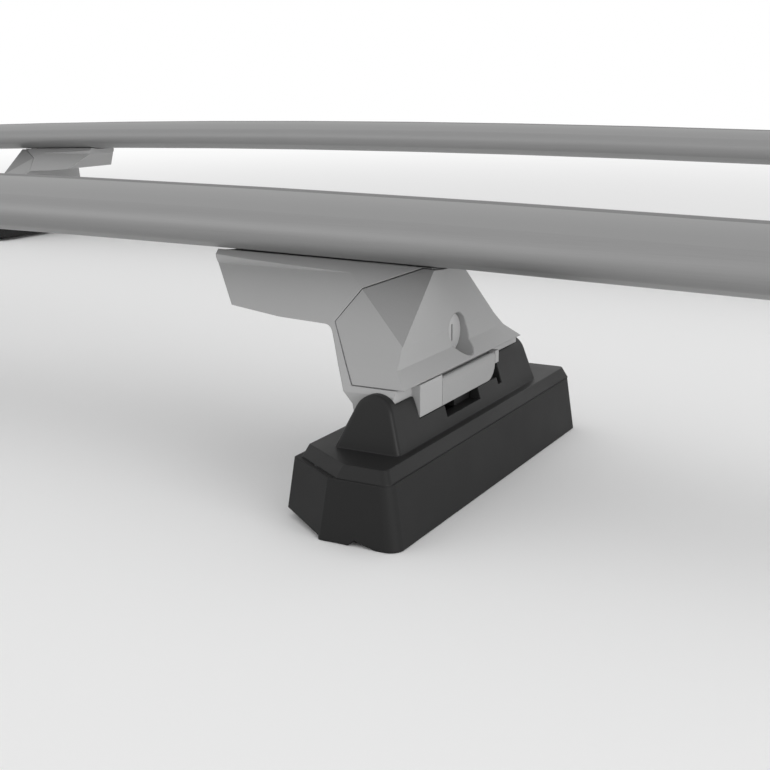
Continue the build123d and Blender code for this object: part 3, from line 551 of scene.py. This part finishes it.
for leg, outward in LEGS.items():
    shade_upper_facets(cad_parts[f"{leg}_cover"])
    points, faces = threaded_bolt(*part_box(f"{leg}_bar_bolt"))
    bolt = add_surface(f"{leg}_threaded_bolt", points, faces, zinc_steel, f"{leg}_leg")
    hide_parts(f"{leg}_bar_bolt")
    core_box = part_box(f"{leg}_lock_core")
    points, faces = lock_plate(*core_box, outward)
    add_surface(f"{leg}_lock_plate", points, faces, painted_casting, f"{leg}_lock")
    points, faces = lock_sleeve(*core_box, outward)
    add_surface(f"{leg}_lock_sleeve", points, faces, cover_nylon, f"{leg}_cover")


def seen_directly(tree):
    """1 for rays that show a surface to the eye, straight or mirrored, and 0 for rays that light others."""
    path = add_node(tree, "ShaderNodeLightPath")
    seen = path.outputs["Is Camera Ray"]
    for kind in ("Is Glossy Ray", "Is Transmission Ray"):
        pair = {"Value": seen, "Value_001": path.outputs[kind]}
        seen = add_node(tree, "ShaderNodeMath", pair, operation="MAXIMUM").outputs[0]
    return seen


def painted_board():
    """Matt painted board that runs out into plain white far from the rack."""
    material, tree, shader, place = start_material("matt_painted_board")
    shader.inputs["Base Color"].default_value = linear(BOARD_COLOUR)
    shader.inputs["Roughness"].default_value = BOARD_ROUGHNESS
    shader.inputs["Specular IOR Level"].default_value = BOARD_SHEEN
    distance = add_node(
        tree, "ShaderNodeVectorMath", {"Vector": place}, operation="LENGTH",
    ).outputs["Value"]
    far = add_node(
        tree, "ShaderNodeMapRange",
        {"Value": distance, "From Min": FADE_START, "From Max": FADE_END},
        interpolation_type="SMOOTHSTEP",
    ).outputs["Result"]
    white = add_node(
        tree, "ShaderNodeMath", {"Value": far, "Value_001": seen_directly(tree)}, operation="MULTIPLY",
    ).outputs[0]
    glow = add_node(tree, "ShaderNodeEmission", {"Color": linear(WHITE), "Strength": 1.0}).outputs[0]
    mixed = add_node(
        tree, "ShaderNodeMixShader",
        {"Fac": white, "Shader": shader.outputs["BSDF"], "Shader_001": glow},
    ).outputs[0]
    tree.links.new(mixed, tree.nodes["Material Output"].inputs["Surface"])
    return material


floor_mesh = bpy.data.meshes.new("studio_floor")
floor_corners = [
    (x * FLOOR_HALF, y * FLOOR_HALF, -FLOOR_DROP) for x, y in ((-1, -1), (1, -1), (1, 1), (-1, 1))
]
floor_mesh.from_pydata(floor_corners, [], [(0, 1, 2, 3)])
floor_mesh.materials.append(painted_board())
floor = bpy.data.objects.new("studio_floor", floor_mesh)
bpy.context.scene.collection.objects.link(floor)

world = bpy.data.worlds.new("soft_white_room")
world.use_nodes = True
room = world.node_tree.nodes["Background"]
room.inputs["Color"].default_value = linear(WHITE)
strength = add_node(
    world.node_tree, "ShaderNodeMapRange",
    {"Value": seen_directly(world.node_tree), "To Min": ROOM_LIGHT, "To Max": 1.0},
).outputs["Result"]
world.node_tree.links.new(strength, room.inputs["Strength"])
bpy.context.scene.world = world


def softbox(name, place, size, watts):
    """Square area light that looks at the leg in view."""
    data = bpy.data.lights.new(name, "AREA")
    data.shape = "SQUARE"
    data.size = size
    data.energy = watts
    light = bpy.data.objects.new(name, data)
    light.location = place
    light.rotation_mode = "QUATERNION"
    light.rotation_quaternion = (LIGHT_AIM - place).to_track_quat("-Z", "Y")
    bpy.context.scene.collection.objects.link(light)


softbox("key_softbox", KEY_AT, KEY_SIZE, KEY_WATTS)
softbox("fill_softbox", FILL_AT, FILL_SIZE, FILL_WATTS)


def camera_matrix():
    """World matrix of the camera from its yaw, pitch and roll."""
    yaw, pitch, roll = (math.radians(v) for v in (CAMERA_YAW, CAMERA_PITCH, CAMERA_ROLL))
    level = Vector((-math.sin(yaw), math.cos(yaw), 0))
    up = Vector((0, 0, 1))
    ahead = math.cos(pitch) * level - math.sin(pitch) * up
    upright = math.sin(pitch) * level + math.cos(pitch) * up
    across = Vector((level.y, -level.x, 0))
    right = math.cos(roll) * across + math.sin(roll) * upright
    top = -math.sin(roll) * across + math.cos(roll) * upright
    turn = Matrix((right, top, -ahead)).transposed()
    return Matrix.Translation(CAMERA_AT) @ turn.to_4x4()


camera_data = bpy.data.cameras.new("photo_camera")
camera_data.sensor_width = SENSOR_WIDTH
camera_data.lens = SENSOR_WIDTH * FOCAL_PIXELS / IMAGE_WIDTH
camera_data.clip_start = CLIP_NEAR
camera_data.clip_end = CLIP_FAR
camera = bpy.data.objects.new("photo_camera", camera_data)
camera.matrix_world = camera_matrix()
bpy.context.scene.collection.objects.link(camera)
bpy.context.scene.camera = camera
bpy.context.scene.view_settings.view_transform = "Standard"
